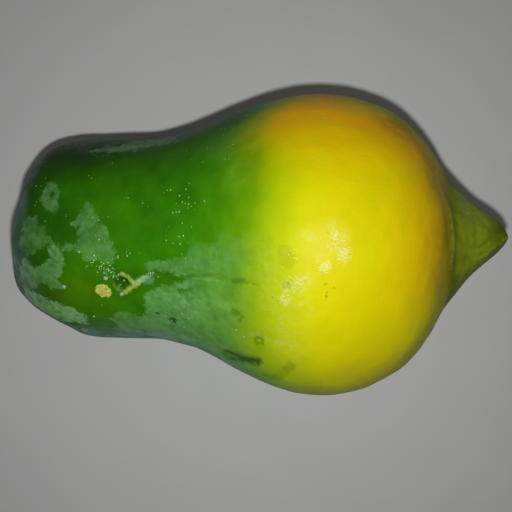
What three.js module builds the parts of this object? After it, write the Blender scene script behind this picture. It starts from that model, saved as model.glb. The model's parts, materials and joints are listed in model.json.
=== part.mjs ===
// A papaya, grown as one piece: a plump bulb that narrows to a blunt neck and ends in a pointed beak.
// It lies on its side and bears on two small flat spots, one under the bulb and one under the neck.
// Millimetres. +X runs from the stem end to the beak, +Y to the left flank, +Z up.

import * as THREE from "three";
import { mergeVertices } from "three/addons/utils/BufferGeometryUtils.js";

// Driving dimensions

const FRUIT_LENGTH = 194.4; // to the tip, from a plane just clear of the stem end
const TILT = THREE.MathUtils.degToRad(10.8); // the axis climbs towards the beak
const FLAT_DEPTH = 0.8; // how far the skin is pressed flat where it bears on the surface
const SEGMENTS_AROUND = 64;
const RINGS_PER_STATION = 3;
const MERGE_WITHIN = 0.001; // closes the seam and the two poles

// The outlines of the two flanks, from the sunken stem scar to the tip of the beak.
// Each station gives [along the axis, out from the axis] on the left and on the right flank.

const STEM_END = [
  { left: [12.8, 0], right: [12.8, 0] },
  { left: [12.6, 4.6], right: [12, 4.6] },
  { left: [11.8, 8], right: [9, 8] },
  { left: [11.6, 12.5], right: [6, 12.5] },
  { left: [13, 19], right: [6.4, 20] },
  { left: [14.6, 26.2], right: [12, 25.4] },
];
const NECK = [
  { left: [16.5, 34], right: [19, 30] },
  { left: [23.5, 39.4], right: [26, 34.2] },
  { left: [31.5, 41.2], right: [32, 36.8] },
  { left: [39, 41.3], right: [39, 38.2] },
  { left: [52, 40.9], right: [52, 38.2] },
  { left: [66, 40.8], right: [66, 38.2] },
  { left: [82, 44.2], right: [82, 41.7] },
];
const BULB = [
  { left: [98, 49.4], right: [98, 49.4] },
  { left: [114, 54.1], right: [114, 55.7] },
  { left: [127, 55.1], right: [127, 57.5] },
  { left: [141, 53], right: [141, 55.2] },
  { left: [154, 47.1], right: [154, 48.4] },
  { left: [162, 40], right: [162, 41.3] },
];
const BEAK = [
  { left: [168, 31.8], right: [168, 32.2] },
  { left: [174, 22.2], right: [174, 22] },
  { left: [182, 12.8], right: [182, 12.8] },
  { left: [189, 7.5], right: [189, 7.5] },
  { left: [192.6, 4.3], right: [192.6, 4.3] },
  { left: [194.2, 1.8], right: [194.2, 1.8] },
  { left: [FRUIT_LENGTH, 0], right: [FRUIT_LENGTH, 0] },
];
const STATIONS = [...STEM_END, ...NECK, ...BULB, ...BEAK];

// Five seed chambers show as low ribs with furrows between them.

const RIBS = 5;
const FIRST_RIB = THREE.MathUtils.degToRad(13); // from the top towards the left flank
const RIB_HEIGHT = { shoulder: 0.9, neck: 0.4, bulb: 0.35, beak: 0.7 };
const RIB_BLEND = { toNeck: [12, 45], toBulb: [70, 110], toBeak: [158, 178] }; // along the axis
const RIB_FADE = { from: 6, to: 20 }; // the ribs die out towards the axis
const END_LOBE = { height: 1.9, rise: [6, 16], fall: [20, 36] }; // rib ends round the scar, on the left
const END_LOBE_REACH = 50; // along the axis, so that the slim beak gets no lobes

// A crease folds the skin where the beak leaves the bulb, and the beak leans to the left.

const CREASE = { along: 171.5, width: 2.2, topDepth: 2.7, sideDepth: 0.5 };
const BEAK_LEAN = 1.8;
const BEAK_LEAN_FROM = 172;

// The right flank of the shoulder is flattened, up to a short ledge where the neck begins.

const FLATTENED = { around: THREE.MathUtils.degToRad(-90), spread: 0.55, depth: 2.4 };
const FLATTENED_FROM = [14, 27];
const FLATTENED_LEDGE = [30, 36];

// The skin swells and sinks gently, as on any fruit that grew outdoors.

const SWELL = { height: 0.35, alongPeriod: 17, turns: 2, phase: 0.6 };

// Skin colours of a fruit that ripens from the bulb back to the neck

const GREEN = new THREE.Color(0x2e7004);
const YELLOW = new THREE.Color(0xd8cf08);
const OLIVE = new THREE.Color(0x66701c);
const RIPENING = [86, 112]; // along the axis
const OLIVE_FROM = CREASE.along - 3 * CREASE.width;

// A smooth outline through one flank's stations, sampled at even steps between them
function flankOutline(side) {
  const corners = STATIONS.map((station) => {
    const [along, out] = station[side];
    return new THREE.Vector3(out, along, 0);
  });
  const curve = new THREE.CatmullRomCurve3(corners, false, "centripetal");
  return curve
    .getPoints((STATIONS.length - 1) * RINGS_PER_STATION)
    .map((point) => new THREE.Vector2(Math.max(point.x, 0), point.y));
}

// How far the ribs stand out at a place along the axis
function ribHeight(along) {
  const { lerp, smoothstep } = THREE.MathUtils;
  const neck = lerp(RIB_HEIGHT.shoulder, RIB_HEIGHT.neck, smoothstep(along, ...RIB_BLEND.toNeck));
  const bulb = lerp(neck, RIB_HEIGHT.bulb, smoothstep(along, ...RIB_BLEND.toBulb));
  return lerp(bulb, RIB_HEIGHT.beak, smoothstep(along, ...RIB_BLEND.toBeak));
}

// A rib's section: round on top, with a narrower furrow on each side
function ribSection(around) {
  const turn = (RIBS * (around - FIRST_RIB)) / 2;
  return (Math.cos(2 * turn) + 2 * Math.abs(Math.cos(turn)) - 1) / 2;
}

// How far a rib's end stands out from the stem end, along the axis
function endLobe(out, around) {
  const { smoothstep } = THREE.MathUtils;
  const share = smoothstep(out, ...END_LOBE.rise) - smoothstep(out, ...END_LOBE.fall);
  const leftShare = ((1 + Math.sin(around)) / 2) ** 2;
  return END_LOBE.height * share * leftShare * Math.cos(RIBS * (around - FIRST_RIB));
}

// How deep the right shoulder is flattened
function flattening(along, around) {
  const { smoothstep } = THREE.MathUtils;
  const lengthwise = smoothstep(along, ...FLATTENED_FROM) - smoothstep(along, ...FLATTENED_LEDGE);
  return FLATTENED.depth * lengthwise * Math.exp(-(((around - FLATTENED.around) / FLATTENED.spread) ** 2));
}

// What ribs, crease, flattening and swells add to the distance from the axis
function relief(along, out, around) {
  const fade = THREE.MathUtils.smoothstep(out, RIB_FADE.from, RIB_FADE.to);
  const ribs = ribHeight(along) * ribSection(around);
  const depth = THREE.MathUtils.lerp(CREASE.sideDepth, CREASE.topDepth, Math.max(Math.cos(around), 0));
  const fold = -depth * Math.exp(-(((along - CREASE.along) / CREASE.width) ** 2));
  const swell =
    SWELL.height *
    Math.sin(along / SWELL.alongPeriod) *
    Math.cos(SWELL.turns * around + SWELL.phase);
  return fade * (ribs + fold + swell - flattening(along, around));
}

// The lathe turns the mean of the two outlines. Each vertex then moves to its own flank's outline.
function fruitGeometry() {
  const left = flankOutline("left");
  const right = flankOutline("right");
  const mean = left.map((point, ring) => point.clone().lerp(right[ring], 0.5));
  const geometry = new THREE.LatheGeometry(mean, SEGMENTS_AROUND).rotateZ(-Math.PI / 2);
  const position = geometry.getAttribute("position");
  for (let i = 0; i < position.count; i += 1) {
    const ring = i % mean.length;
    const around = Math.atan2(position.getY(i), position.getZ(i));
    const leftShare = (1 + Math.sin(around)) / 2;
    const spot = right[ring].clone().lerp(left[ring], leftShare);
    const out = spot.x + relief(spot.y, spot.x, around);
    const lean = BEAK_LEAN * THREE.MathUtils.smoothstep(spot.y, BEAK_LEAN_FROM, FRUIT_LENGTH);
    const along = spot.y < END_LOBE_REACH ? spot.y - endLobe(spot.x, around) : spot.y;
    position.setXYZ(i, along, lean + out * Math.sin(around), out * Math.cos(around));
  }
  geometry.deleteAttribute("normal");
  geometry.deleteAttribute("uv");
  return mergeVertices(geometry, MERGE_WITHIN);
}

// Green neck, yellow bulb and olive beak, by the distance along the axis
function colourSkin(geometry) {
  const { smoothstep } = THREE.MathUtils;
  const position = geometry.getAttribute("position");
  const colours = [];
  for (let i = 0; i < position.count; i += 1) {
    const along = position.getX(i);
    const skin = GREEN.clone()
      .lerp(YELLOW, smoothstep(along, ...RIPENING))
      .lerp(OLIVE, smoothstep(along, OLIVE_FROM, CREASE.along));
    colours.push(skin.r, skin.g, skin.b);
  }
  geometry.setAttribute("color", new THREE.Float32BufferAttribute(colours, 3));
}

// Tilts the fruit until bulb and neck both touch, and presses the two spots flat on the surface
function layOnSide(geometry) {
  geometry.rotateY(-TILT);
  geometry.computeBoundingBox();
  const surface = geometry.boundingBox.min.z + FLAT_DEPTH;
  const position = geometry.getAttribute("position");
  for (let i = 0; i < position.count; i += 1) {
    position.setZ(i, Math.max(position.getZ(i), surface));
  }
  geometry.computeBoundingBox();
  const { min, max } = geometry.boundingBox;
  geometry.translate(-(min.x + max.x) / 2, -(min.y + max.y) / 2, -min.z);
}

const geometry = fruitGeometry();
colourSkin(geometry);
layOnSide(geometry);
geometry.computeVertexNormals();

const skin = new THREE.MeshStandardMaterial({ vertexColors: true, roughness: 0.4, metalness: 0 });
const papaya = new THREE.Mesh(geometry, skin);
papaya.name = "papaya";

const group = new THREE.Group();
group.add(papaya);

export default group;
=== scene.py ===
# %% [markdown]
# # A ripening papaya
# A papaya grows as one piece: a plump bulb, a blunt neck where the stalk sat, and a short beak.
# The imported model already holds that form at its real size, in metres, lying on the plane z = 0.
# It is loaded first and never moved, so all that is modelled here sits exactly where the solid is.

# %% Load the form
import json
import math

import bpy
import numpy as np
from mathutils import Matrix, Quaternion, Vector
from mathutils.bvhtree import BVHTree

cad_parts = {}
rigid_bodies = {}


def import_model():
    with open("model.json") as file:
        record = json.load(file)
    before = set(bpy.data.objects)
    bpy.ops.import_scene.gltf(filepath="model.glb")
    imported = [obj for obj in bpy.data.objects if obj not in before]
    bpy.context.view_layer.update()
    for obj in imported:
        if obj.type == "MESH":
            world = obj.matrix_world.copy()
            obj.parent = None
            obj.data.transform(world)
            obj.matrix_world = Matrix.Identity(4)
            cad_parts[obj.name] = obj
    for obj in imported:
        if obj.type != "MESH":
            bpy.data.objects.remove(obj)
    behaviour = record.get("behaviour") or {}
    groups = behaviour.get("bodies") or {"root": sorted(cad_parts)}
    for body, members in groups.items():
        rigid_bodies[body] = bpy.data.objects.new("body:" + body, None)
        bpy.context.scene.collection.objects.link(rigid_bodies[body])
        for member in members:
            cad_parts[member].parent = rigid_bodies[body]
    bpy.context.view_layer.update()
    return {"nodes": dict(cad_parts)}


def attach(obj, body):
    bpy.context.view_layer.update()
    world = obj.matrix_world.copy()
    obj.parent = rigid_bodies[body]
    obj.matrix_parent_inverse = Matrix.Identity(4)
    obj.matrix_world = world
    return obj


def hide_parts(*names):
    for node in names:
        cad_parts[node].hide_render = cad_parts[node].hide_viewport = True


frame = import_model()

MM = 0.001

# %% [markdown]
# ## The camera
# The fruit is seen from straight above, through a lens only 300 mm over the surface it lies on.
# A camera could be nudged by eye until the outlines agree. Here its place and lens are named values,
# because the same few numbers also tell which point of the skin a spot of the picture belongs to.

# %% The camera
PICTURE_SIDE = 512  # pixels
LENS = 45.0  # millimetres
SENSOR = 36.0  # millimetres
CAMERA_PLACE = Vector((2.2, -4.4, 300.8)) * MM
NEAREST = 10 * MM  # nothing closer to the lens is drawn

bpy.ops.object.select_all(action="DESELECT")
bpy.ops.object.camera_add(location=CAMERA_PLACE, rotation=(0, 0, 0))
camera = bpy.context.object
camera.name = "overhead_camera"
camera.data.lens = LENS
camera.data.sensor_width = SENSOR
camera.data.clip_start = NEAREST
bpy.context.scene.camera = camera
focal = PICTURE_SIDE * LENS / SENSOR
print("focal length, pixels:", focal)

# %% [markdown]
# ## A finer skin
# The solid has flat faces a few millimetres wide, which would show as facets on a fruit.
# Sculpting could round them, but a Subdivision Surface does it evenly and keeps the form.
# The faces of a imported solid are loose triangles, so the copy is merged and turned into quads first.

# %% A finer skin
SKIN_LEVELS = 2
MERGE_WITHIN = 0.02 * MM


def only(piece):
    """Selects this piece alone and makes it the active one."""
    bpy.ops.object.select_all(action="DESELECT")
    piece.select_set(True)
    bpy.context.view_layer.objects.active = piece


def finish_with(piece, kind, **settings):
    """Adds a modifier to the piece, sets it and applies it."""
    only(piece)
    bpy.ops.object.modifier_add(type=kind)
    modifier = piece.modifiers[-1]
    for name, value in settings.items():
        setattr(modifier, name, value)
    bpy.ops.object.modifier_apply(modifier=modifier.name)


skin = bpy.data.objects.new("papaya_skin", frame["nodes"]["papaya"].data.copy())
bpy.context.scene.collection.objects.link(skin)
only(skin)
bpy.ops.object.mode_set(mode="EDIT")
bpy.ops.mesh.select_all(action="SELECT")
bpy.ops.mesh.remove_doubles(threshold=MERGE_WITHIN)
bpy.ops.mesh.tris_convert_to_quads()
bpy.ops.object.mode_set(mode="OBJECT")
finish_with(skin, "SUBSURF", levels=SKIN_LEVELS, render_levels=SKIN_LEVELS)
print("skin faces:", len(skin.data.polygons))

# %% [markdown]
# ## From the picture to the skin
# Scars, wax and rub marks lie where they lie, so their places are read off the picture in pixels.
# A ray from the camera through such a pixel meets the skin in one point, and a tree of the skin's
# faces finds it quickly. Painting by hand would do as well, but would not survive a change of form.

# %% From the picture to the skin
skin_tree = BVHTree.FromPolygons(
    [vertex.co for vertex in skin.data.vertices],
    [face.vertices for face in skin.data.polygons],
)


def skin_point(across, down):
    """The point and the normal of the skin, before its relief, that the camera sees at a pixel."""
    half = PICTURE_SIDE / 2
    ray = Vector((across - half, half - down, -focal)).normalized()
    place, normal, _, _ = skin_tree.ray_cast(CAMERA_PLACE, ray)
    return place, normal


WOUND = (116, 285)  # pixel: a corky scab and a pit side by side on the neck
wound_place, _ = skin_point(*WOUND)
print("wound on the neck, millimetres:", [round(value / MM, 1) for value in wound_place])

# %% [markdown]
# ## Finer faces near the marks
# The marks on the skin are down to half a millimetre wide, smaller than one of its faces.
# Refining the whole fruit for them would cost a million faces, so only the faces near the marks are
# selected, by their distance from them, and subdivided. The wound on the neck gets a second round.

# %% Finer faces near the marks
MARKED = [  # pixel and reach in millimetres, one row for each round
    [((180, 285), 24), ((235, 310), 26), ((275, 310), 27), (WOUND, 17)],
    [(WOUND, 12)],
]


def subdivide_near(piece, spots):
    """Subdivides the faces of the piece that lie within reach of the spots."""
    centres = [(skin_point(*spot)[0], reach * MM) for spot, reach in spots]
    only(piece)
    bpy.ops.object.mode_set(mode="EDIT")
    bpy.ops.mesh.select_mode(type="FACE")
    bpy.ops.mesh.select_all(action="DESELECT")
    bpy.ops.object.mode_set(mode="OBJECT")
    for face in piece.data.polygons:
        face.select = any((face.center - place).length < reach for place, reach in centres)
    bpy.ops.object.mode_set(mode="EDIT")
    bpy.ops.mesh.subdivide(number_cuts=1, smoothness=1)
    bpy.ops.object.mode_set(mode="OBJECT")


for spots in MARKED:
    subdivide_near(skin, spots)
bpy.ops.object.shade_smooth()
triangles = sum(len(face.vertices) - 2 for face in skin.data.polygons)
print("skin faces:", len(skin.data.polygons), "triangles:", triangles)

# %% [markdown]
# ## Measuring every vertex once
# Each mark below asks the same things of a vertex: where the camera sees it, whether it faces the
# camera, how far it is from the tip along the fruit's axis, and at which angle round that axis.
# Arrays answer for all vertices at once, which is far quicker than a loop over them.

# %% Measuring every vertex once
AXIS_TILT = math.radians(10.8)  # the axis climbs towards the beak
BEAK_LEAN = 1.8  # millimetres that the tip leans to the left of the axis
SEEN_FACING = (0.02, 0.15)  # how squarely a vertex faces the camera, from unseen to seen


def read_vectors(items, name):
    """One row of three numbers for each vertex."""
    flat = np.empty(3 * len(items))
    items.foreach_get(name, flat)
    return flat.reshape(-1, 3)


def smooth(low, high, value):
    """0 at low, 1 at high, and a smooth rise between."""
    share = np.clip((value - low) / (high - low), 0, 1)
    return share * share * (3 - 2 * share)


points = read_vectors(skin.data.vertices, "co") / MM
normals = read_vectors(skin.data.vertex_normals, "vector")
to_camera = np.array(CAMERA_PLACE) / MM - points
away = to_camera[:, 2]
across = PICTURE_SIDE / 2 - focal * to_camera[:, 0] / away
down = PICTURE_SIDE / 2 + focal * to_camera[:, 1] / away
pixel_size = away / focal
facing = (normals * to_camera).sum(axis=1) / np.linalg.norm(to_camera, axis=1)
seen = smooth(*SEEN_FACING, facing)

tip = points[points[:, 0].argmax()]
axis = np.array([math.cos(AXIS_TILT), 0, math.sin(AXIS_TILT)])
upward = np.array([-math.sin(AXIS_TILT), 0, math.cos(AXIS_TILT)])
from_tip = (tip - points) @ axis
sideways = points[:, 1] - tip[1] + BEAK_LEAN
height = (points - tip) @ upward
around = np.degrees(np.arctan2(sideways, height))
out = np.hypot(sideways, height)
print("length along the axis, millimetres:", round(float(from_tip.max()), 1))

# %% [markdown]
# ## Rulers on the skin
# Three rulers turn a pixel, a line or an outline of the picture into millimetres on the skin.
# Lines and outlines only hold where the camera sees the skin, so elsewhere they read as far away.
# A texture painted on an unwrapped skin could hold the marks too, but it would blur the fine ones.

# %% Rulers on the skin
FAR = 999.0  # millimetres


def from_spot(spot):
    """Distance of each vertex from the skin's point at a pixel."""
    place, _ = skin_point(*spot)
    return np.linalg.norm(points - np.array(place) / MM, axis=1)


def from_line(corners):
    """Distance of each vertex from a line drawn in the picture."""
    nearest = np.full(len(points), FAR)
    for (x0, y0), (x1, y1) in zip(corners, corners[1:]):
        run_x, run_y = x1 - x0, y1 - y0
        share = ((across - x0) * run_x + (down - y0) * run_y) / (run_x**2 + run_y**2)
        share = np.clip(share, 0, 1)
        gap = np.hypot(across - x0 - share * run_x, down - y0 - share * run_y)
        nearest = np.minimum(nearest, gap)
    return np.where(seen > 0, nearest * pixel_size, FAR)


def depth_inside(corners):
    """How deep each vertex lies inside an outline drawn in the picture, negative outside it."""
    closed = corners + corners[:1]
    inside = np.zeros(len(points), bool)
    for (x0, y0), (x1, y1) in zip(closed, closed[1:]):
        if y0 != y1:
            crossing = x0 + (down - y0) * (x1 - x0) / (y1 - y0)
            inside ^= ((y0 > down) != (y1 > down)) & (across < crossing)
    return np.where(inside, 1, -1) * from_line(closed)


def bump_of(distance, width):
    """1 on a mark and close to 0 two widths away from it."""
    return np.exp(-((distance / width) ** 2))


print("one pixel on the fruit's top, millimetres:", round(float(pixel_size.min()), 2))

# %% [markdown]
# ## Relief in the skin
# Pits, a gash, fine folds at the beak and the lips of the wound are shapes, so they go into the mesh.
# Each is a line or a spot with a width and a height, and they are added up. A bump in the material
# would be less work, but it vanishes at the outline and in the mesh that other programs read.

# %% Pits and folds
PITS = [  # pixel, radius and depth in millimetres
    ((121.5, 282.5), 2.5, 1.5),
    ((173, 320), 1.0, 0.5),
    ((157, 314), 0.7, 0.4),
    ((258, 341), 1.4, 0.35),
    ((287, 257), 2.0, 0.25),
    ((286, 285), 1.2, 0.2),
    ((234, 312), 1.2, 0.25),
    ((283, 371), 3.0, 0.4),
]
TEAR = [(147, 268), (160, 275), (178, 281), (193, 277), (205, 278), (222, 281), (240, 281), (256, 284)]
GASH = [(227, 353), (238, 358), (248, 361), (258, 362)]
WRINKLE = [(437, 170), (442.5, 193), (448, 204), (451.5, 216), (453.5, 230), (453.5, 248), (450, 270)]
FOLDS = [  # line in the picture, half width and height in millimetres
    (WRINKLE, 0.6, 0.18),
    ([(436, 171), (446, 189), (454, 205), (457.5, 222), (458.5, 245), (456, 268)], 1.0, -0.25),
    ([(436, 180), (441, 194), (446, 210), (449, 228), (449, 248)], 0.9, -0.2),
    ([(507, 237), (497, 245), (488, 252), (478, 259), (468, 270)], 1.2, 0.4),
    ([(487, 243), (478, 249), (470, 250), (462, 252)], 0.8, -0.4),
    ([(481, 254), (472, 258), (464, 260)], 0.7, -0.25),
    ([(500, 250), (488, 259), (478, 268)], 1.2, -0.3),
    ([(503, 228), (492, 226), (480, 222)], 1.5, -0.25),
    (TEAR, 0.7, -0.3),
    (GASH, 1.0, -0.45),
    ([(114, 285), (116, 289.5), (121, 291)], 0.6, 0.3),
    ([(122, 275), (128, 278), (132, 282), (134, 285)], 0.7, 0.35),
    ([(126, 291.5), (131, 288), (136, 285)], 0.7, 0.35),
]

rise = np.zeros(len(points))
for spot, radius, depth in PITS:
    rise -= depth * bump_of(from_spot(spot), radius)
for corners, width, lift in FOLDS:
    rise += lift * seen * bump_of(from_line(corners), width)
print("relief, millimetres:", round(float(rise.min()), 2), "to", round(float(rise.max()), 2))

# %% [markdown]
# A shallow notch runs down the stem end between two ribs and shows in the outline from above.
# No ray meets the skin squarely there, so the notch is measured in the picture's plane instead.

# %% The notch
NOTCH = (13, 206)  # pixel on the outline of the stem end
NOTCH_WIDTH = 7.0  # millimetres
NOTCH_DEPTH = 1.5  # millimetres
NOTCH_FADE = (-0.8, -0.2)  # it dies out where the skin faces away from the camera

beside_notch = np.hypot(across - NOTCH[0], down - NOTCH[1]) * pixel_size
notch = NOTCH_DEPTH * bump_of(beside_notch, NOTCH_WIDTH) * smooth(*NOTCH_FADE, facing)
rise -= notch
print("notch, millimetres deep:", round(float(notch.max()), 2))

# %% [markdown]
# The stalk broke off at the stem end and left a round scar with a corky rim and grooves in its bed.
# It faces away from the camera, so it is drawn from the distance to the axis instead of a pixel.
# The grooves are a cosine round the axis, bent and spread unevenly so that they are no neat wheel.

# %% The stem scar
STEM_END = 150.0  # millimetres from the tip, past which the scar is looked for
SCAR_RADIUS = 7.5  # millimetres, as all heights and widths here
SCAR_RIM = 1.8
RIM_HEIGHT = 0.7
BED_DEPTH = 0.6
GROOVES = 9
GROOVE_DEPTH = 0.15  # above and below the bed
GROOVES_FROM = (0.5, 3)  # millimetres from the axis, between which they begin
GROOVE_SPREAD = 1.6  # radians by which they crowd together or part
GROOVE_BEND = 0.3  # radians for each millimetre from the axis

at_stem = from_tip > STEM_END
rim = np.where(at_stem, bump_of(out - SCAR_RADIUS, SCAR_RIM), 0)
bed = np.where(at_stem, smooth(SCAR_RADIUS, SCAR_RADIUS - SCAR_RIM, out), 0)
turn = np.radians(around)
groove_turn = GROOVES * turn + GROOVE_SPREAD * np.sin(2 * turn + 1) + GROOVE_BEND * out
grooves = np.cos(groove_turn) * smooth(*GROOVES_FROM, out)
rise += RIM_HEIGHT * rim - bed * (BED_DEPTH - GROOVE_DEPTH * grooves)
print("vertices in the scar:", int((bed > 0.5).sum()))

# %% [markdown]
# What is raised and what is sunken become two vertex groups, and two Displace modifiers push the skin
# out and in by them, along its normals. Moving the vertices one by one would do the same, but a
# modifier is how it would be done by hand, and the group shows in the viewport as a heat map.

# %% Push the skin
LEAST_SHARE = 0.002  # of the greatest height, below which a vertex stays where it is


def push(piece, name, share, reach):
    """Moves the piece's vertices along their normals, by reach in metres times their share."""
    group = piece.vertex_groups.new(name=name)
    moved = np.flatnonzero(share > LEAST_SHARE)
    for index in moved:
        group.add([int(index)], float(share[index]), "REPLACE")
    finish_with(piece, "DISPLACE", vertex_group=name, mid_level=0, strength=reach)
    piece.vertex_groups.clear()
    print(name, "vertices:", len(moved))


raised = np.maximum(rise, 0)
sunken = np.maximum(-rise, 0)
push(skin, "raised", raised / raised.max(), raised.max() * MM)
push(skin, "sunken", sunken / sunken.max(), -sunken.max() * MM)

# %% [markdown]
# No fruit is as even as a turned form. A Displace modifier with a cloud texture lifts and sinks the
# skin by a few tenths of a millimetre, and whatever it pushes below the surface is laid flat again.
# A sculpting brush could do it too, but the clouds come out the same each time the script is run.

# %% Uneven growth
SWELLS = [  # name, size and height in millimetres
    ("broad_swells", 16, 0.9),
    ("small_swells", 4.5, 0.16),
]


def swell(piece, name, size, lift, kind="CLOUDS"):
    """Lifts and sinks the piece by a texture, with its size and its lift in metres."""
    texture = bpy.data.textures.new(name, kind)
    texture.noise_scale = size
    finish_with(piece, "DISPLACE", texture=texture, texture_coords="LOCAL", strength=lift)


for name, size, lift in SWELLS:
    swell(skin, name, size * MM, lift * MM)
for vertex in skin.data.vertices:
    vertex.co.z = max(vertex.co.z, 0)
print("lowest point, millimetres:", round(min(vertex.co.z for vertex in skin.data.vertices) / MM, 3))

# %% [markdown]
# ## Where the colours lie
# A papaya ripens from the bulb back to the neck. The front between yellow and green is a wavy line
# round the fruit, kept as its place along the length at a few angles, from the top to the left.
# Each finish below is one number for each vertex, stored as a named attribute for the material.

# %% The ripening front
RIPE_FRONT = [  # degrees from the top to the left, millimetres along the length, width of the change
    (-180, 12, 0.8), (-130, 22, 0.8), (-92, 22, 0.8), (-78, 12, 0.8), (-64, 5, 0.9), (-50, -1, 0.9),
    (-35, -4.2, 0.85), (-15, -2.8, 0.75), (0, -0.8, 0.62), (15, 1.8, 0.58), (28, 3.6, 0.55),
    (40, 2, 0.55), (49, 6, 0.6), (58, 13, 0.7), (70, 17, 0.7), (110, 14, 0.7), (180, 12, 0.8),
]
AHEAD = 18.0  # millimetres that the colour runs ahead at the middle of these spots
RIPENS_EARLY = [  # pixel, radius in millimetres and strength
    ((84, 293), 12, 1.0),
    ((108, 306), 8, 0.7),
    ((66, 186), 9, 0.8),
    ((105, 185), 9, 0.5),
]


def keep(name, values):
    """Stores one number for each vertex of the skin."""
    attribute = skin.data.attributes.new(name, "FLOAT", "POINT")
    attribute.data.foreach_set("value", np.asarray(values, dtype=np.float32))


def dabs(spots):
    """The strongest of some soft round dabs at each vertex."""
    strongest = np.zeros(len(points))
    for spot, radius, strength in spots:
        strongest = np.maximum(strongest, strength * bump_of(from_spot(spot), radius))
    return strongest


front_angles, front_places, front_widths = zip(*RIPE_FRONT)
past_front = points[:, 0] - np.interp(around, front_angles, front_places)
width = np.interp(around, front_angles, front_widths)
ripe = past_front / np.where(past_front > 0, width, 1)
keep("ripe", ripe + AHEAD * dabs(RIPENS_EARLY))
print("ripe share of the skin:", round(float((ripe > 0).mean()), 2))

# %% [markdown]
# The sunny side of the bulb blushes orange, and the skin turns to gold in a collar before the beak.
# Near the beak the left flank loses its blush again. Each of these is a product of smooth steps along
# the axis and round it, which is easier to move about than a painted mask.

# %% Blush
BLUSH_SHARE = 0.95
BLUSH_SIDE = ((12, 60), (140, 100))  # degrees round the axis between which it comes, and goes
BLUSH_RIPE = (-14, 16)  # millimetres past the ripening front
COLLAR_SHARE = 0.45
COLLAR = (50, 25)  # millimetres from the tip between which the yellow turns to gold
COLLAR_SIDE = ((-50, -12), (175, 130))
PALER_SHARE = 0.95
PALER = (66, 44)  # millimetres from the tip between which the flank loses its blush
PALER_SIDE = ((46, 62), (175, 130))
SCORCH = [  # pixel, radius in millimetres and strength
    ((395, 127), 7, 0.6),
    ((404, 140), 6, 0.25),
    ((443, 236), 9, 0.3),
    ((441, 268), 8, 0.25),
    ((432, 180), 8, 0.3),
]


def between(value, comes, goes):
    """1 between two smooth steps, each given from its 0 to its 1."""
    return smooth(*comes, value) * smooth(*goes, value)


blush = BLUSH_SHARE * between(around, *BLUSH_SIDE)
collar = COLLAR_SHARE * smooth(*COLLAR, from_tip) * between(around, *COLLAR_SIDE)
blush = np.maximum(blush, collar) * smooth(*BLUSH_RIPE, ripe)
blush *= 1 - PALER_SHARE * smooth(*PALER, from_tip) * between(around, *PALER_SIDE)
keep("blush", blush)
keep("scorch", dabs(SCORCH))
print("blushing share of the skin:", round(float((blush > 0.5).mean()), 2))

# %% [markdown]
# The beak is where the flower sat. It stays olive while the bulb has already turned yellow, and its
# tip is brown. A brown band along its crease is painted shade, where the bulb's shoulder falls
# steeply away into the crease. The distance from the tip places all three, because they run round
# the fruit as rings.

# %% Beak
CREASE_FROM_TIP = 23.0  # millimetres
BEAK_BLEND = (CREASE_FROM_TIP + 3, CREASE_FROM_TIP - 3)
CREASE_SHADE_FROM_TIP = CREASE_FROM_TIP - 1.8
CREASE_SHADE_WIDTH = 2.6
CREASE_SHADE_SHARE = 0.25
CREASE_SHADE_ON_TOP = 0.5  # added to it where the crease is deepest
TIP_SHARE = 0.7
BROWN_TIP = (11, 3)  # millimetres from the tip

beak = smooth(*BEAK_BLEND, from_tip)
top_share = np.clip(np.cos(np.radians(around)), 0, 1)
# Painted shade: the band darkens the skin along the crease, where the bulb's shoulder falls away, most of
# all on top.
crease_shade_and_tip = bump_of(from_tip - CREASE_SHADE_FROM_TIP, CREASE_SHADE_WIDTH) * (CREASE_SHADE_SHARE + CREASE_SHADE_ON_TOP * top_share)
crease_shade_and_tip = np.maximum(crease_shade_and_tip, TIP_SHARE * smooth(*BROWN_TIP, from_tip))
keep("beak", beak)
keep("crease_shade_and_tip", crease_shade_and_tip)
print("vertices on the beak:", int((beak > 0.5).sum()))

# %% [markdown]
# Painted shade darkens the flanks that face away from the light: deep green on the neck, a darker
# olive under the bulb and on its left, and a darker ring round the foot of the beak that reaches
# further back on the flanks. Each is again a product of smooth steps, and where two of them meet the
# stronger one counts.

# %% Painted shade on the flanks
NECK_SHADE_SIDE = ((18, 62), (170, 120))  # degrees round the axis, on the neck's left
NECK_SHADE_RIPE = (-4, -18)  # millimetres past the ripening front
FLANK_SHADE_SIDE = ((-42, -76), (-175, -130))  # on the bulb's right
FLANK_SHADE_RIPE = (0, 20)
BEAK_SHADE_SIDE = ((-10, -60), (-175, -130))
SHADY_SHARE = 0.8
SHADY_SIDE = ((54, 76), (170, 120))  # on the bulb's left
SHADY_RIPE = (-6, 10)
FOOT_SHARE = 0.9
FOOT_REACH = 34  # millimetres from the tip
FOOT_REACH_MORE = 20  # and so much more on the flanks
FOOT_FLANK = (36, 78)  # degrees from the top
FOOT_BLEND = 9
FOOT_SIDE = ((10, 32), (150, 115))

# Painted shade: the neck's left flank, which faces away from the light, is darkened.
deep = between(around, *NECK_SHADE_SIDE) * smooth(*NECK_SHADE_RIPE, ripe)
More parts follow.
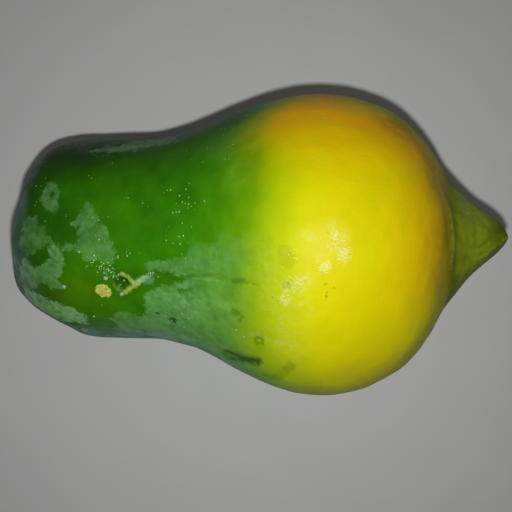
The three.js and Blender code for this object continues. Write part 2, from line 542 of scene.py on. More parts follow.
# Painted shade: the bulb's flanks and the beak's underside face away from the light and are darkened, and
# so is a ring round the foot of the beak.
painted_flank_shade = between(around, *FLANK_SHADE_SIDE) * smooth(*FLANK_SHADE_RIPE, ripe)
painted_flank_shade = np.maximum(painted_flank_shade, beak * between(around, *BEAK_SHADE_SIDE))
painted_flank_shade = np.maximum(painted_flank_shade, SHADY_SHARE * between(around, *SHADY_SIDE) * smooth(*SHADY_RIPE, ripe))
off_top = np.abs(around)
foot_reach = FOOT_REACH + FOOT_REACH_MORE * smooth(*FOOT_FLANK, off_top)
foot_shade = smooth(foot_reach, foot_reach - FOOT_BLEND, from_tip) * between(off_top, *FOOT_SIDE)
painted_flank_shade = np.maximum(painted_flank_shade, FOOT_SHARE * foot_shade * (1 - beak))
keep("deep", deep)
keep("painted_flank_shade", painted_flank_shade)
print("dull share of the skin:", round(float((painted_flank_shade > 0.5).mean()), 2))

# %% [markdown]
# ## Wax
# A bluish wax covers the unripe skin. Hands and leaves have rubbed at it, and what is left is patches
# with sharp, torn edges. The outlines of those that the picture shows are drawn here in pixels, and
# the attribute holds the depth inside them, so that the material can tear the edges with noise.

# %% Wax patches
WAX_PATCHES = [  # share of light that the film throws back, and its outline in the picture
    (0.16, [  # a triangle on the neck
        (88, 203), (80, 212), (74, 219), (71, 225), (78, 227), (73, 231), (80, 238), (76, 244),
        (64, 246), (62, 250), (72, 248), (80, 253), (86, 259), (97, 259), (105, 264), (113, 264),
        (116, 252), (112, 243), (108, 237), (107, 230), (100, 222), (95, 213), (92, 204),
    ]),
    (0.19, [  # the middle, and on under the bulb
        (144, 297), (150, 290), (165, 286), (178, 282), (190, 279), (176, 273), (160, 270),
        (148, 268), (146, 263), (170, 260), (182, 257), (188, 253), (194, 246), (205, 247),
        (225, 248), (240, 240), (275, 250), (285, 290), (285, 330), (285, 385), (215, 352),
        (190, 343), (165, 338), (146, 334), (139, 328), (136, 316), (147, 313), (144, 306),
    ]),
    (0.12, [  # the stem end
        (25, 216), (33, 216), (38, 222), (43, 228), (45, 236), (50, 238), (47, 243), (40, 250),
        (33, 254), (27, 252), (21, 246), (20, 238), (24, 235), (22, 228),
    ]),
    (0.24, [  # a column beside it
        (18, 263), (26, 259), (34, 267), (42, 266), (50, 258), (48, 247), (52, 240), (59, 245),
        (63, 256), (63, 270), (59, 280), (64, 290), (52, 288), (42, 284), (30, 288), (20, 282),
    ]),
    (0.18, [  # above the stem end
        (46, 183), (56, 184), (58, 193), (56, 201), (57, 211), (53, 214), (45, 208), (40, 200),
    ]),
    # Partly painted sheen: the film is strongest here, along the outline, where the skin is seen at a
    # grazing angle.
    (0.44, [  # along the lower limb of the neck
        (22, 286), (34, 293), (46, 299), (60, 304), (74, 309), (88, 316), (86, 324), (68, 322),
        (48, 315), (28, 303),
    ]),
    (0.16, [(110, 319), (120, 312), (132, 313), (140, 318), (142, 332), (124, 331)]),
    # Partly painted sheen along the outline, where the skin is seen at a grazing angle.
    (0.2, [  # along the upper limb of the neck
        (86, 151), (112, 147), (130, 143), (150, 139), (172, 137), (178, 140), (160, 145),
        (140, 149), (110, 153),
    ]),
    (0.06, [(210, 146), (218, 143), (228, 145), (226, 151), (227, 157), (220, 158), (215, 151)]),
    (0.04, [(231, 172), (238, 165), (247, 163), (248, 176), (244, 187), (236, 190)]),
]
THICK_FILM = [  # pixel, radius in millimetres and share of light, inside the patches
    ((165, 303), 9, 0.12),
    ((186, 300), 6, 0.24),
    ((181, 318), 7, 0.1),
    ((228, 311), 4, 0.1),
]
RUBBED = [  # outlines inside the patches where the film is gone
    [(180, 290), (185, 288), (191, 288), (192, 291), (186, 293), (181, 292)],
    [(49, 191), (54, 191), (55, 195), (50, 196)],
]

wax = np.full(len(points), -FAR)
film = np.zeros(len(points))
for share, outline in WAX_PATCHES:
    depth = depth_inside(outline)
    film = np.where(depth > wax, share, film)
    wax = np.maximum(wax, depth)
for outline in RUBBED:
    wax = np.minimum(wax, -depth_inside(outline))
print("waxed share of the seen skin:", round(float((wax[seen > 0.5] > 0).mean()), 2))

# %% [markdown]
# The camera sees only half of the fruit. On the rest the wax is torn in the same way, in patches made
# by a sum of waves that fits the size of the ones in the picture, and fades where the skin is ripe.
# The waves' headings are drawn at random from a seed, so they are the same on every run.

# %% Wax on the hidden side
WAVES = 12
WAVE_SIZES = (0.6, 1.6)  # the smallest and the largest, of the size asked for


def waves(seed, size):
    """A smooth, irregular field over the skin, mostly between -1 and 1, with swells of this size."""
    draw = np.random.default_rng(seed)
    field = np.zeros(len(points))
    for _ in range(WAVES):
        heading = draw.normal(size=3)
        heading *= 2 * math.pi / (size * np.linalg.norm(heading) * draw.uniform(*WAVE_SIZES))
        field += np.sin(points @ heading + draw.uniform(0, 2 * math.pi))
    return field / math.sqrt(WAVES)


HIDDEN_SEED = 7
HIDDEN_PATCH = 45  # millimetres across
HIDDEN_LEVEL = 0.35  # the higher, the fewer patches
HIDDEN_STEEPNESS = 9  # millimetres of depth for each unit of the field
HIDDEN_FILM = 0.16
DEEPEST = 8  # millimetres, past which the depth makes no difference
SHARP_EDGE, SOFT_EDGE = 0.3, 4.0  # millimetres
SOFTENING = (-26, -8)  # millimetres along the length, between which the edges turn soft

hidden_wax = HIDDEN_STEEPNESS * (waves(HIDDEN_SEED, HIDDEN_PATCH) - HIDDEN_LEVEL)
hidden_wax = np.clip(hidden_wax, -DEEPEST, DEEPEST)
wax = seen * np.clip(wax, -DEEPEST, DEEPEST) + (1 - seen) * hidden_wax
film = seen * (film + dabs(THICK_FILM)) + (1 - seen) * HIDDEN_FILM
softness = SHARP_EDGE + (SOFT_EDGE - SHARP_EDGE) * smooth(*SOFTENING, points[:, 0])
keep("wax", wax)
keep("wax_softness", softness)
keep("film", film)
print("waxed share of the hidden skin:", round(float((wax[seen < 0.5] > 0).mean()), 2))

# %% [markdown]
# On the flanks and round the stem scar, where nothing rubs, a thin bluish veil of wax is left between
# the patches. On the flanks it is partly painted sheen: the greyish shine of skin seen at a grazing
# angle, strongest on the bulb's right flank. It is a table of angles round the axis, and the stem end
# is found by its normals.

# %% A veil of wax and painted sheen on the flanks
VEIL_AND_SHEEN_AROUND = [  # degrees round the axis, share of light that the veil throws back
    (-180, 0.1), (-130, 0.13), (-100, 0.16), (-82, 0.4), (-66, 0.62), (-52, 0.1), (-40, 0),
    (52, 0), (78, 0.2), (110, 0.12), (180, 0.1),
]
END_VEIL = 0.3  # share of light on the stem end
END_FACING = ((0.28, 0.72), (1.1, 0.7))  # how squarely the skin faces backwards along the axis
END_BLEND = 10  # millimetres

backward = -(normals @ axis)
flank_veil_and_sheen = np.interp(around, *zip(*VEIL_AND_SHEEN_AROUND))
end_veil = END_VEIL * between(backward, *END_FACING) * smooth(STEM_END, STEM_END + END_BLEND, from_tip)
keep("veil_and_sheen", np.maximum(flank_veil_and_sheen, end_veil))
print("veil on the stem end, greatest share:", round(float(end_veil.max()), 2))

# %% [markdown]
# ## Rub marks, dust and painted highlight
# The ripe skin is scuffed: pale smears, and a fine dust. Round the highlight some smears and dabs are
# painted highlight, glints and sheen laid into the colour. Smears are soft lines, dust is a soft dab,
# and the material breaks both up into grains.

# %% Rub marks, dust and painted highlight
SMEARS_AND_SHEEN = [  # line in the picture, half width in millimetres, strength
    ([(268, 262), (275, 290), (281, 318), (288, 345)], 6.0, 0.07),
    # Painted highlight: the short smears in the bulb's highlight stand for its whiter streaks.
    ([(286, 287), (296, 284), (307, 280)], 1.8, 0.34),
    ([(283, 295), (286, 303)], 1.3, 0.36),
    ([(300, 304), (306, 311)], 2.0, 0.14),
    ([(308, 236), (316, 240)], 2.0, 0.18),
    ([(333, 230), (340, 246)], 2.4, 0.3),
    ([(252, 336), (262, 333), (272, 340), (290, 346)], 1.0, 0.2),
    ([(458, 195), (470, 206), (484, 217)], 4.0, 0.12),
]
DUST_AND_GLINTS = [  # pixel, radius in millimetres and strength
    # Painted highlight: the dabs round the bulb's highlight are its glints and sheen, besides dust.
    ((327, 238), 10, 0.14),
    ((344, 254), 2.2, 0.8),
    ((343, 259), 1.6, 0.6),
    ((325, 267), 1.9, 0.75),
    ((338, 240), 4, 0.35),
    ((296, 284), 4.5, 0.32),
    ((285, 299), 2.5, 0.45),
    ((275, 295), 12, 0.1),
]

smear_and_sheen = np.zeros(len(points))
for corners, width, strength in SMEARS_AND_SHEEN:
    smear_and_sheen = np.maximum(smear_and_sheen, strength * bump_of(from_line(corners), width))
keep("smear_and_sheen", smear_and_sheen * seen)
keep("dust_and_glints", dabs(DUST_AND_GLINTS))
print("smears:", len(SMEARS_AND_SHEEN), "dust dabs:", len(DUST_AND_GLINTS))

# %% [markdown]
# ## Bruises, stains, scars and latex
# Green bruises, dark stains, pale healed scars and runs of dried juice are strokes with a firm edge.
# As with the wax, the attribute holds the depth inside a stroke, and the material frays the edge.

# %% Bruises, stains, scars and latex
BRUISES = [  # line in the picture, half width in millimetres, strength
    ([(234, 281), (242, 281)], 0.9, 0.6),
    ([(242, 282), (257, 285)], 0.3, 0.5),
    ([(188, 276), (195, 276)], 0.6, 0.5),
    ([(205, 275), (217, 275)], 0.5, 0.45),
    ([(232, 311), (237, 314)], 0.8, 0.55),
    ([(238, 321), (243, 317)], 0.5, 0.5),
    ([(285.5, 285), (287, 285)], 1.1, 0.28),
    ([(257.5, 341.5), (259.5, 341.5)], 1.4, 0.5),
    ([(276, 377), (284, 373), (291, 367)], 1.4, 0.3),
    ([(285, 251), (288, 262)], 2.2, 0.14),
    ([(148, 272), (162, 277), (176, 282)], 1.1, 0.3),
    ([(148, 290), (165, 286), (178, 281)], 0.3, 0.5),
    ([(181, 291), (190, 290)], 0.7, 0.35),
    ([(226, 354), (242, 359), (258, 362)], 1.7, 0.55),
]
STAINS = [  # line in the picture, half width in millimetres, strength
    ([(225, 351), (234, 354), (243, 358)], 0.5, 0.55),
    ([(240, 359), (250, 361), (258, 362)], 0.8, 0.65),
    ([(229, 358), (238, 362)], 0.4, 0.45),
    # A darker line along the lower outline.
    ([(262, 374), (272, 379)], 0.4, 0.3),
    ([(171, 320), (175, 321)], 0.7, 0.75),
    ([(157, 314), (157.5, 314)], 0.45, 0.9),
    ([(325, 283), (326, 283)], 0.4, 0.5),
    ([(333, 289), (334, 289)], 0.4, 0.5),
    ([(326, 292), (326, 299)], 0.3, 0.35),
    ([(273, 297), (274, 297)], 0.4, 0.6),
    # Partly the wound's dark colour, partly painted shade in the pit.
    ([(119, 282), (124, 285)], 1.8, 0.45),
]
SCARS = [  # line in the picture, half width in millimetres, strength
    ([(122, 275), (128, 278), (132, 282), (134, 285)], 0.75, 0.75),
    ([(126, 291.5), (131, 288), (136, 285)], 0.75, 0.75),
    ([(136, 285), (140, 281), (144, 277.5)], 0.9, 0.5),
    ([(114, 285), (116, 289.5), (121, 291)], 0.3, 0.18),
    ([(193, 278), (205, 279), (220, 281)], 0.3, 0.18),
    ([(160, 294), (180, 294)], 0.3, 0.2),
    ([(258.5, 341.5), (259, 341.5)], 0.5, 0.6),
    # Painted highlight: a pale dab where the flat ledge on the lower outline catches the light.
    ([(83, 330), (87, 331)], 0.5, 0.4),
    # Pale lines along the wrinkle at the beak's crease and along the fold by the tip.
    (WRINKLE, 0.25, 0.25),
    ([(507, 237), (497, 245), (488, 252), (478, 259)], 0.3, 0.22),
]
LATEX_RUNS = [  # line in the picture, half width in millimetres, strength
    ([(139, 281), (144, 278), (149, 277)], 0.9, 0.62),
    ([(143, 279.5), (150, 280)], 1.3, 0.25),
]
MARKS = {"bruise": BRUISES, "stain": STAINS, "scar": SCARS, "latex": LATEX_RUNS}
DEEPEST_STROKE = 4  # millimetres, past which the depth makes no difference


def drawn(strokes):
    """How deep each vertex lies inside the nearest of some strokes, and how strong that stroke is."""
    depth = np.full(len(points), -FAR)
    strongest = np.zeros(len(points))
    for corners, width, strength in strokes:
        inside = width - from_line(corners)
        strongest = np.where(inside > depth, strength, strongest)
        depth = np.maximum(depth, inside)
    return np.clip(depth, -DEEPEST_STROKE, DEEPEST_STROKE), strongest * seen


for name, strokes in MARKS.items():
    depth, strength = drawn(strokes)
    keep(name, depth)
    keep(name + "_strength", strength)
    print(name, "strokes:", len(strokes))

# %% [markdown]
# ## Specks, old yellow, cork and wet spots
# Tiny pale specks crowd round the wound, partly painted glints of tiny wet drops. The green below it is
# tinged an old yellow, the stem scar is corky, and a few spots are wet and shine. All are dabs or
# rings, kept as shares from 0 to 1.

# %% Specks, old yellow, cork and wet spots
# Partly painted glints of tiny wet drops round the wound.
SPRINKLE = [  # pixel, radius in millimetres and strength
    ((106, 270), 4.5, 1.0),
    ((92, 262), 5, 0.8),
    ((84, 256), 5, 0.5),
    ((113, 274), 3, 1.0),
    ((152, 272), 3, 0.7),
    ((292, 253), 3.5, 0.7),
    ((284, 322), 4, 0.4),
]
TINGED = [  # pixel, radius in millimetres and strength
    ((82, 291), 9, 1.0),
    ((60, 300), 8, 1.0),
    ((106, 308), 10, 0.6),
    ((84, 312), 6, 0.5),
]
GLOSSY = [  # pixel, radius in millimetres and strength
    ((121, 283), 2.6, 1.0),
    ((343, 254), 3.0, 0.9),
    ((326, 268), 3.2, 0.7),
    ((300, 282), 3.0, 0.5),
    ((291, 253), 2.6, 0.7),
]
CORK_EDGE = (SCAR_RADIUS + 2.5, SCAR_RADIUS - 1)  # millimetres from the axis
BED_TONE = 0.8  # how dark the bed is
GROOVE_TONE = 0.1  # and how much paler it is between its grooves

keep("sprinkle", dabs(SPRINKLE))
keep("tinge", dabs(TINGED))
keep("cork", np.where(at_stem, smooth(*CORK_EDGE, out), 0))
keep("cork_bed", bed * (BED_TONE - GROOVE_TONE * grooves))
keep("wet", dabs(GLOSSY))
print("attributes on the skin:", len(skin.data.attributes))

# %% [markdown]
# ## The skin's finish
# The material starts from the ripening front and lays each finish over it: blush, beak, rub marks,
# wax, stains and scars. Noise in millimetres keeps every border from being a clean line.
# Image textures would need the picture itself. Attributes and noise hold for the whole fruit.
# The nodes could be joined by hand in the shader editor. A small class that adds one node at a time
# says the same in code. Most noise lies between 0.3 and 0.7, so limits near these set its contrast.

# %% A finish, step by step
class Finish:
    """A material that is built up one node at a time."""

    def __init__(self, name):
        self.material = bpy.data.materials.new(name)
        self.material.use_nodes = True
        self.tree = self.material.node_tree
        self.shader = self.tree.nodes["Principled BSDF"]
        coordinates = self.tree.nodes.new("ShaderNodeTexCoord")
        place = self.node("ShaderNodeVectorMath", 0, operation="SCALE")
        self.feed(place.node.inputs["Vector"], coordinates.outputs["Object"])
        self.feed(place.node.inputs["Scale"], 1 / MM)
        self.place = place

    def feed(self, socket, value):
        """Links a value that comes from a node, and sets any other."""
        if isinstance(value, bpy.types.NodeSocket):
            self.tree.links.new(value, socket)
        else:
            socket.default_value = value

    def node(self, kind, output, **settings):
        """Adds a node and returns one of its outputs."""
        made = self.tree.nodes.new(kind)
        for name, value in settings.items():
            setattr(made, name, value)
        return made.outputs[output]

    def calc(self, operation, *values):
        """Works out two values with a Math node."""
        result = self.node("ShaderNodeMath", 0, operation=operation)
        for socket, value in zip(result.node.inputs, values):
            self.feed(socket, value)
        return result

    def plus(self, first, second):
        """The sum of two values."""
        return self.calc("ADD", first, second)

    def times(self, product, *factors):
        """The product of some values."""
        for factor in factors:
            product = self.calc("MULTIPLY", product, factor)
        return product

    def mark(self, name):
        """The number that the skin's vertices keep under this name."""
        return self.node("ShaderNodeAttribute", "Fac", attribute_name=name)

    def noise(self, size, detail=2.0, roughness=0.5, stretch=None):
        """Noise between 0 and 1 with spots of this size in millimetres."""
        result = self.node("ShaderNodeTexNoise", 0)
        self.feed(result.node.inputs["Vector"], stretch or self.place)
        self.feed(result.node.inputs["Scale"], 1 / size)
        self.feed(result.node.inputs["Detail"], detail)
        self.feed(result.node.inputs["Roughness"], roughness)
        return result

    def wander(self, noise, reach):
        """Noise as a number of millimetres, up to half the reach to either side of 0."""
        return self.times(self.calc("SUBTRACT", noise, 0.5), reach)

    def cells(self, size):
        """Distance from the nearest of some scattered points, with cells of this size in millimetres."""
        result = self.node("ShaderNodeTexVoronoi", "Distance")
        self.feed(result.node.inputs["Vector"], self.place)
        self.feed(result.node.inputs["Scale"], 1 / size)
        return result

    def ease(self, value, low, high, start=0.0, end=1.0):
        """Start below low, end above high, and a smooth change between."""
        result = self.node("ShaderNodeMapRange", 0, interpolation_type="SMOOTHSTEP")
        for socket, number in zip(result.node.inputs, (value, low, high, start, end)):
            self.feed(socket, number)
        return result

    def mix(self, share, below, above, blend="MIX"):
        """Lays one colour over another."""
        result = self.node("ShaderNodeMix", 2, data_type="RGBA", blend_type=blend)
        for index, value in zip((0, 6, 7), (share, below, above)):
            self.feed(result.node.inputs[index], value)
        return result

    def tinted(self, below, tint):
        """A colour multiplied by a tint."""
        return self.mix(1.0, below, tint, "MULTIPLY")

    def ramp(self, value, stops):
        """A colour for each value between 0 and 1."""
        result = self.node("ShaderNodeValToRGB", 0)
        elements = result.node.color_ramp.elements
        while len(elements) < len(stops):
            elements.new(0.5)
        for element, (position, tint) in zip(elements, stops):
            element.position = position
            element.color = tint
        self.feed(result.node.inputs[0], value)
        return result


peel = Finish("papaya_peel")
print("finish begun:", peel.material.name)

# %% [markdown]
# ### Green to yellow
# The ripening front is a distance in millimetres, and a colour ramp turns it into the skin's colour.
# Noise lets the front wander, blotches make the unripe green uneven, and painted shade darkens the
# neck's flank that faces away from the light. A gradient over the whole length would be simpler, but
# its border would be a neat ring.

# %% Green to yellow
def colour(red, green, blue):
    """A screen colour, 0 to 255, as the linear light that a shader needs."""
    linear = [
        part / 12.92 if part <= 0.04045 else ((part + 0.055) / 1.055) ** 2.4
        for part in (red / 255, green / 255, blue / 255)
    ]
    return (*linear, 1.0)


RIPENING = [  # millimetres past the front, and the skin's colour there
    (-90, colour(28, 78, 2)),
    (-64, colour(37, 98, 2)),
    (-48, colour(52, 122, 2)),
    (-20, colour(57, 134, 2)),
    (-12, colour(74, 144, 2)),
    (-3, colour(96, 154, 2)),
    (3, colour(132, 174, 2)),
    (14, colour(178, 198, 2)),
    (28, colour(212, 210, 1)),
    (40, colour(217, 207, 1)),
]
FRONT_WANDER = 8.0  # millimetres
UNRIPE = (-14, 10)  # millimetres past the front, between which the unripe look fades
BLOTCHES = [(0.3, (0.72, 0.76, 0.7, 1)), (0.7, (1.2, 1.16, 1.1, 1))]  # tints for the blotch noise
BLOTCH_SHARE = (0.15, 0.9)  # on ripe and on unripe skin
# Painted shade on the neck's left flank.
NECK_SHADE_TINT = (0.5, 0.42, 0.5, 1.0)  # what the skin is multiplied by
OLD_YELLOW = colour(104, 112, 0)
OLD_YELLOW_SHARE = 0.22

front = peel.plus(peel.mark("ripe"), peel.wander(peel.noise(8.0, detail=4.0), FRONT_WANDER))
first, last = RIPENING[0][0], RIPENING[-1][0]
ripeness = peel.ease(front, first, last)
ripeness.node.interpolation_type = "LINEAR"
base = peel.ramp(ripeness, [((place - first) / (last - first), tint) for place, tint in RIPENING])
unripe = peel.ease(peel.mark("ripe"), *UNRIPE, start=1.0, end=0.0)
blotch = peel.noise(9.0, detail=3.0)
blotchy = peel.tinted(base, peel.ramp(blotch, BLOTCHES))
base = peel.mix(peel.ease(unripe, 0, 1, *BLOTCH_SHARE), base, blotchy)
# Painted shade darkens the neck's left flank.
base = peel.mix(peel.mark("deep"), base, peel.tinted(base, NECK_SHADE_TINT))
base = peel.mix(peel.times(peel.mark("tinge"), OLD_YELLOW_SHARE), base, OLD_YELLOW)
print("colours between green and yellow:", len(RIPENING))

# %% [markdown]
# ### Blush and beak
# The blush lies in streaks along the fruit, because the skin stretched that way as it grew. Then
# follow scorched spots, the olive beak, painted shade on the flanks and painted shade in the beak's
# crease. Blush, scorch and the painted shade on the flanks each have a noise of their own, so they
# are patchy in different places.

# %% Blush and beak over it
STREAK = (0.2, 1.0, 1.0)  # streaks five times as long as they are wide
ORANGE = colour(255, 172, 0)
BURNT = colour(150, 78, 0)
OLIVE = colour(142, 158, 30)
PALE_OLIVE = colour(120, 142, 20)
FLANK_SHADE_TINT = (0.56, 0.63, 0.45, 1.0)  # what the skin is multiplied by
CREASE_SHADE_AND_TIP_BROWN = colour(56, 58, 4)
CREASE_SHADE_AND_TIP_SHARE = 0.8

lengthwise = peel.node("ShaderNodeVectorMath", 0, operation="MULTIPLY")
peel.feed(lengthwise.node.inputs[0], peel.place)
peel.feed(lengthwise.node.inputs[1], STREAK)
streaky = peel.times(peel.plus(peel.noise(3.0, detail=5.0, stretch=lengthwise), blotch), 0.5)
mottled = peel.ease(streaky, 0.36, 0.62, start=0.7)
base = peel.mix(peel.times(peel.mark("blush"), mottled), base, ORANGE)
spotty = peel.ease(peel.noise(3.0, detail=4.0), 0.35, 0.6, start=0.5)
base = peel.mix(peel.times(peel.mark("scorch"), spotty), base, BURNT)
olive = peel.mix(peel.ease(peel.noise(3.5, detail=3.0), 0.3, 0.7), OLIVE, PALE_OLIVE)
base = peel.mix(peel.mark("beak"), base, olive)
# Painted shade: the flanks that face away from the light and the foot of the beak are darkened.
patchy = peel.ease(peel.noise(2.4, detail=8.0, roughness=0.7), 0.3, 0.66, start=0.6, end=1.15)
base = peel.mix(peel.times(peel.mark("painted_flank_shade"), patchy), base, peel.tinted(base, FLANK_SHADE_TINT))
# Painted shade in the beak's crease, and the brown tip.
base = peel.mix(peel.times(peel.mark("crease_shade_and_tip"), CREASE_SHADE_AND_TIP_SHARE), base, CREASE_SHADE_AND_TIP_BROWN)
print("nodes in the skin's finish:", len(peel.tree.nodes))

# %% [markdown]
# ### Rub marks, dust and painted highlight
# Rubbed skin is paler. A coarse noise breaks the smears into streaks. A grain of dust shows where a
# fine noise and the share of dust together pass a limit, so more dust means more and larger grains.
# Round the highlight the same pale grains and streaks are painted highlight.

# %% Rub marks, dust and painted highlight over it
PALE_RUB_AND_GLINT = colour(236, 236, 160)
DUST_LIFT = 0.42  # how far the share of dust lifts the noise
DUST_LIMIT = (0.6, 0.78)
DUST_FADE = (0.02, 0.3)  # shares of dust between which the first grains appear
DUST_SHARE = 0.5

streaks = peel.ease(peel.noise(2.0, detail=8.0, roughness=0.7), 0.35, 0.65)
base = peel.mix(peel.times(peel.mark("smear_and_sheen"), streaks), base, PALE_RUB_AND_GLINT)
dust_and_glints = peel.mark("dust_and_glints")
lifted = peel.plus(peel.noise(0.5, detail=4.0), peel.times(dust_and_glints, DUST_LIFT))
powder = peel.times(peel.ease(lifted, *DUST_LIMIT), peel.ease(dust_and_glints, *DUST_FADE))
base = peel.mix(peel.times(powder, DUST_SHARE), base, PALE_RUB_AND_GLINT)
print("nodes in the skin's finish:", len(peel.tree.nodes))

# %% [markdown]
# ### Wax over it
# The depth inside a patch plus a noise of a few millimetres gives the torn edge. Where the sum passes
# zero the film begins, sharply on the neck and softly towards the bulb. Two more noises make the film
# thick and thin. A glossy coat on the shader would shine, while this wax is dull and scatters light.

# %% Wax over it
WAX = colour(166, 228, 150)
VEIL_AND_SHEEN = colour(166, 188, 198)
TORN = 7.0  # millimetres by which the edges wander

torn = peel.plus(peel.mark("wax"), peel.wander(peel.noise(3.0, detail=8.0, roughness=0.7), TORN))
uneven = peel.ease(peel.noise(10.0), 0.38, 0.62, start=0.6, end=2.6)
softness = peel.times(peel.mark("wax_softness"), uneven)
covered = peel.ease(torn, peel.times(softness, -1.0), softness)
fine = peel.noise(1.5, detail=3.0)
grains = peel.ease(fine, 0.25, 0.75, start=0.8, end=1.2)
clouds = peel.ease(peel.noise(4.0, detail=8.0, roughness=0.66), 0.34, 0.62, start=0.5, end=1.2)
film = peel.times(peel.mark("film"), grains, clouds, covered, unripe)
base = peel.mix(film, base, WAX)
# The veil is wax, and on the flanks partly painted sheen of skin seen at a grazing angle.
wisps = peel.ease(peel.noise(6.0, detail=8.0, roughness=0.6), 0.38, 0.62, start=0.35, end=1.1)
veil = peel.times(peel.mark("veil_and_sheen"), wisps, unripe)
base = peel.mix(veil, base, VEIL_AND_SHEEN)
print("nodes in the skin's finish:", len(peel.tree.nodes))

# %% [markdown]
# ### Bruises, stains, scars and latex over it
# All four follow one recipe: the depth inside a stroke, frayed by a noise, becomes a share of the
# mark's colour. Only the colour and the softness of the edge differ, so one loop lays them all.

# %% Bruises, stains, scars and latex over it
FRAYED = 2.2  # millimetres by which the edges wander
MARK_TINTS = [  # mark, its colour and how soft its edge is, in millimetres
    ("bruise", colour(66, 116, 4), 0.45),
    ("stain", colour(26, 40, 14), 0.3),
    ("scar", colour(190, 212, 92), 0.45),
    ("latex", colour(165, 224, 178), 0.8),
]

frayed = peel.wander(peel.noise(1.4, detail=4.0), FRAYED)
for name, tint, edge in MARK_TINTS:
    mask = peel.ease(peel.plus(peel.mark(name), frayed), -edge, edge)
    base = peel.mix(peel.times(mask, peel.mark(name + "_strength")), base, tint)
print("kinds of marks laid over the skin:", len(MARK_TINTS))

# %% [markdown]
# ### Cork and specks
# The stem scar is dry, crumbly cork. Pale specks dot the unripe skin, partly real specks and partly
# painted glints of tiny drops: a cell texture gives each cell a random colour, and a cell holds a
# speck where this colour and the wanted share exceed a limit.
# Beads of their own would stand out of the skin, but thousands of them would cost too many faces.

# %% Cork and specks over it
CORK = colour(164, 148, 104)
DARK_CORK = colour(92, 76, 50)
CRUMBS = [(0.3, (0.7, 0.68, 0.66, 1)), (0.7, (1.15, 1.15, 1.15, 1))]  # tints for the crumb noise
# Partly painted glints: the pale specks also stand for tiny shining drops.
SPECK_AND_GLINT = colour(206, 236, 176)
SPECK_SHARE = 0.8
SPECK_LIMIT = (1.0, 1.7)  # a cell's colour plus the share, from no speck to the largest
NO_SPECK = -0.05  # a radius below 0 shows nothing
SPECK_BLUR = (-0.02, 0.08)  # cells

crumbly = peel.ramp(peel.noise(1.6, detail=6.0, roughness=0.65), CRUMBS)
corky = peel.tinted(peel.mix(peel.mark("cork_bed"), CORK, DARK_CORK), crumbly)
base = peel.mix(peel.mark("cork"), base, corky)
scattered = peel.times(peel.ease(peel.noise(14.0), 0.38, 0.64, start=0.15, end=0.6), unripe)
SPECKS = [  # cell size in millimetres, largest radius in cells, and the share of cells that hold one
    (1.1, 0.3, scattered),
    (2.6, 0.16, scattered),
    (0.8, 0.4, peel.mark("sprinkle")),
    (0.5, 0.36, peel.mark("sprinkle")),
]
for size, radius, share in SPECKS:
    cells = peel.cells(size)
    chance = peel.node("ShaderNodeSeparateColor", 0)
    peel.feed(chance.node.inputs[0], cells.node.outputs["Color"])
    speck_radius = peel.ease(peel.plus(chance, share), *SPECK_LIMIT, start=NO_SPECK, end=radius)
    specks = peel.ease(peel.calc("SUBTRACT", speck_radius, cells), *SPECK_BLUR)
    base = peel.mix(peel.times(specks, SPECK_SHARE), base, SPECK_AND_GLINT)
print("sizes of specks:", len(SPECKS))

# %% [markdown]
# ### Gloss and grain
# A papaya has a satin gloss, which wax and cork dull and wet spots sharpen, so they change the
# roughness. The finest grain of the skin is far under a tenth of a millimetre high. It is left to a
# bump, because in the mesh it would take millions of faces.

# %% Gloss and grain
SATIN = (0.44, 0.54)  # the roughness of the shiniest and of the dullest bare skin
WAX_ROUGHER = 0.5
CORK_ROUGHER = 0.3
WET_SMOOTHER = 0.34
BUMP_STRENGTH = 0.4
BUMP_HEIGHT = 0.2 * MM
FINEST_SHARE = 0.4  # of the finest grain in the bump
REFRACTION = 1.42
SHINE = 0.17
SHINE_TINT = (1.0, 1.0, 0.6, 1.0)

rough = peel.ease(blotch, 0.3, 0.7, *SATIN)
rough = peel.plus(rough, peel.times(peel.calc("MAXIMUM", film, veil), WAX_ROUGHER))
rough = peel.plus(rough, peel.times(peel.mark("cork"), CORK_ROUGHER))
rough = peel.calc("SUBTRACT", rough, peel.times(peel.mark("wet"), WET_SMOOTHER))
grain = peel.node("ShaderNodeBump", "Normal")
peel.feed(grain.node.inputs["Strength"], BUMP_STRENGTH)
peel.feed(grain.node.inputs["Distance"], BUMP_HEIGHT)
peel.feed(grain.node.inputs["Height"], peel.plus(fine, peel.times(peel.noise(0.55), FINEST_SHARE)))
peel.feed(peel.shader.inputs["Base Color"], base)
peel.feed(peel.shader.inputs["Roughness"], rough)
peel.feed(peel.shader.inputs["Normal"], grain)
peel.feed(peel.shader.inputs["IOR"], REFRACTION)
peel.feed(peel.shader.inputs["Specular IOR Level"], SHINE)
peel.feed(peel.shader.inputs["Specular Tint"], SHINE_TINT)
skin.data.materials.clear()
skin.data.materials.append(peel.material)
print("nodes in the skin's finish:", len(peel.tree.nodes))

# %% [markdown]
# ## The scab
# A graze on the neck healed into a raised, grainy scab. It is a lump of its own that sits in the skin:
# a ball is flattened and turned to the skin's normal, clouds make its edge uneven, and a cell texture
# raises its grains. A bump in the skin's material could not stand out from it at the edge.

# %% The scab
SCAB = (103.5, 291)  # pixel
SCAB_FINENESS = 5
SCAB_SIZE = Vector((3.0, 2.6, 0.75)) * MM  # half its length, width and height
SCAB_SUNK = 0.2 * MM
SCAB_TURN = math.radians(-20)
EDGE_LUMPS = 1.6 * MM
EDGE_LIFT = 1.3 * MM
GRAIN = 0.6 * MM
GRAIN_HEIGHT = 0.3 * MM


def ball(name, fineness):
    """A ball of radius 1 at the origin, to be flattened and seated."""
    bpy.ops.object.select_all(action="DESELECT")
    bpy.ops.mesh.primitive_ico_sphere_add(subdivisions=fineness, radius=1)
    made = bpy.context.object
    made.name = name
    made.data.name = name
    return made


